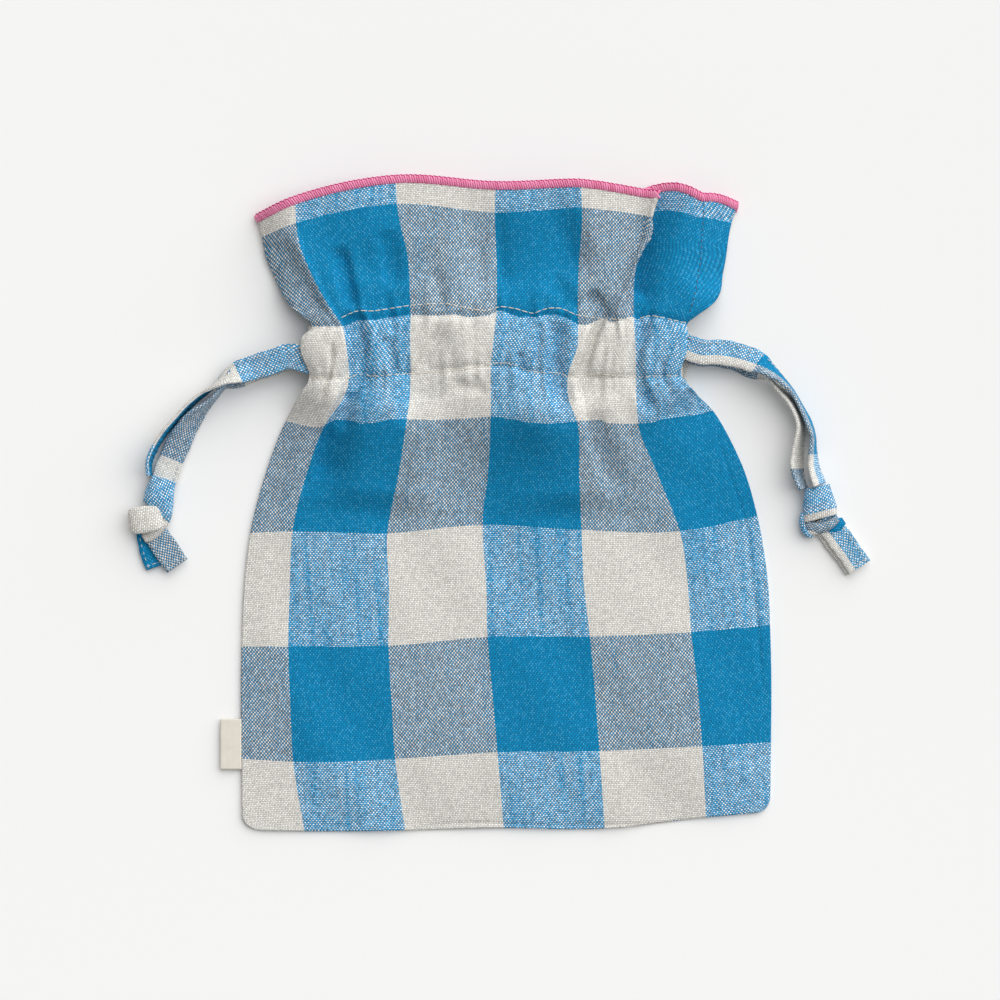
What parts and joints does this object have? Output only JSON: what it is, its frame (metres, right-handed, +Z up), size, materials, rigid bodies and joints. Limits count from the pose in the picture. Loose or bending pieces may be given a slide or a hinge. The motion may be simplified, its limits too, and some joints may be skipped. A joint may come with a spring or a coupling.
{
  "type": "drawstring pouch",
  "caption": "Flat checked-linen pouch with a gathered casing, an open ruffled mouth and knotted tape drawstrings that pull out of its sides to close it.",
  "frame": {"origin": "on the table under the middle of the pouch and its side label, drawstring ends left out", "axes": "+X to the right of the pouch, +Y from the bottom seam to the ruffled mouth, +Z up from the back panel to the front panel"},
  "size_m": [0.2806, 0.2476, 0.0133],
  "materials": {
    "linen": "plain-weave gingham",
    "facing": "plain natural linen",
    "tape": "folded gingham tape",
    "overlock_thread": "overlock thread",
    "stitch_thread": "sewing thread",
    "label": "woven ribbon"
  },
  "bodies": {
    "pouch": {"front_panel": "linen", "back_panel": "linen", "front_casing_facing": "facing", "back_casing_facing": "facing", "bottom_seam": "linen", "left_side_seam": "linen", "right_side_seam": "linen", "left_header_seam": "linen", "right_header_seam": "linen", "front_upper_casing_stitches": "stitch_thread", "front_lower_casing_stitches": "stitch_thread", "back_upper_casing_stitches": "stitch_thread", "back_lower_casing_stitches": "stitch_thread", "front_rim_overlock": "overlock_thread", "back_rim_overlock": "overlock_thread", "left_drawstring_far_bend": "tape", "right_drawstring_far_bend": "tape"},
    "label": {"side_label": "label"},
    "left_drawstring": {"left_drawstring_front_run": "tape", "left_drawstring_back_run": "tape"},
    "left_drawstring_end": {"left_drawstring_front_strand": "tape", "left_drawstring_back_strand": "tape", "left_drawstring_knot": "tape", "left_drawstring_upper_tail": "tape", "left_drawstring_lower_tail": "tape"},
    "right_drawstring": {"right_drawstring_front_run": "tape", "right_drawstring_back_run": "tape"},
    "right_drawstring_end": {"right_drawstring_front_strand": "tape", "right_drawstring_back_strand": "tape", "right_drawstring_knot": "tape", "right_drawstring_upper_tail": "tape", "right_drawstring_lower_tail": "tape"}
  },
  "joints": [
    {"name": "side_label_flap", "type": "hinge", "parent": "pouch", "child": "label", "pos_m": [-0.0966, -0.09125, 0.00135], "axis": [0, 1, 0], "range_deg": [-6, 85], "stiffness_Nm_per_rad": 0.0001},
    {"name": "left_drawstring_pull", "type": "slide", "parent": "pouch", "child": "left_drawstring", "axis": [-1, 0, 0], "range_m": [0, 0.11]},
    {"name": "left_drawstring_swing", "type": "hinge", "parent": "left_drawstring", "child": "left_drawstring_end", "pos_m": [-0.07825, 0.05465, 0.005], "axis": [0, 0, 1], "range_deg": [-70, 12]},
    {"name": "right_drawstring_pull", "type": "slide", "parent": "pouch", "child": "right_drawstring", "axis": [1, 0, 0], "range_m": [0, 0.11]},
    {"name": "right_drawstring_swing", "type": "hinge", "parent": "right_drawstring", "child": "right_drawstring_end", "pos_m": [0.07825, 0.05515, 0.005], "axis": [0, 0, 1], "range_deg": [-8, 70]}
  ]
}
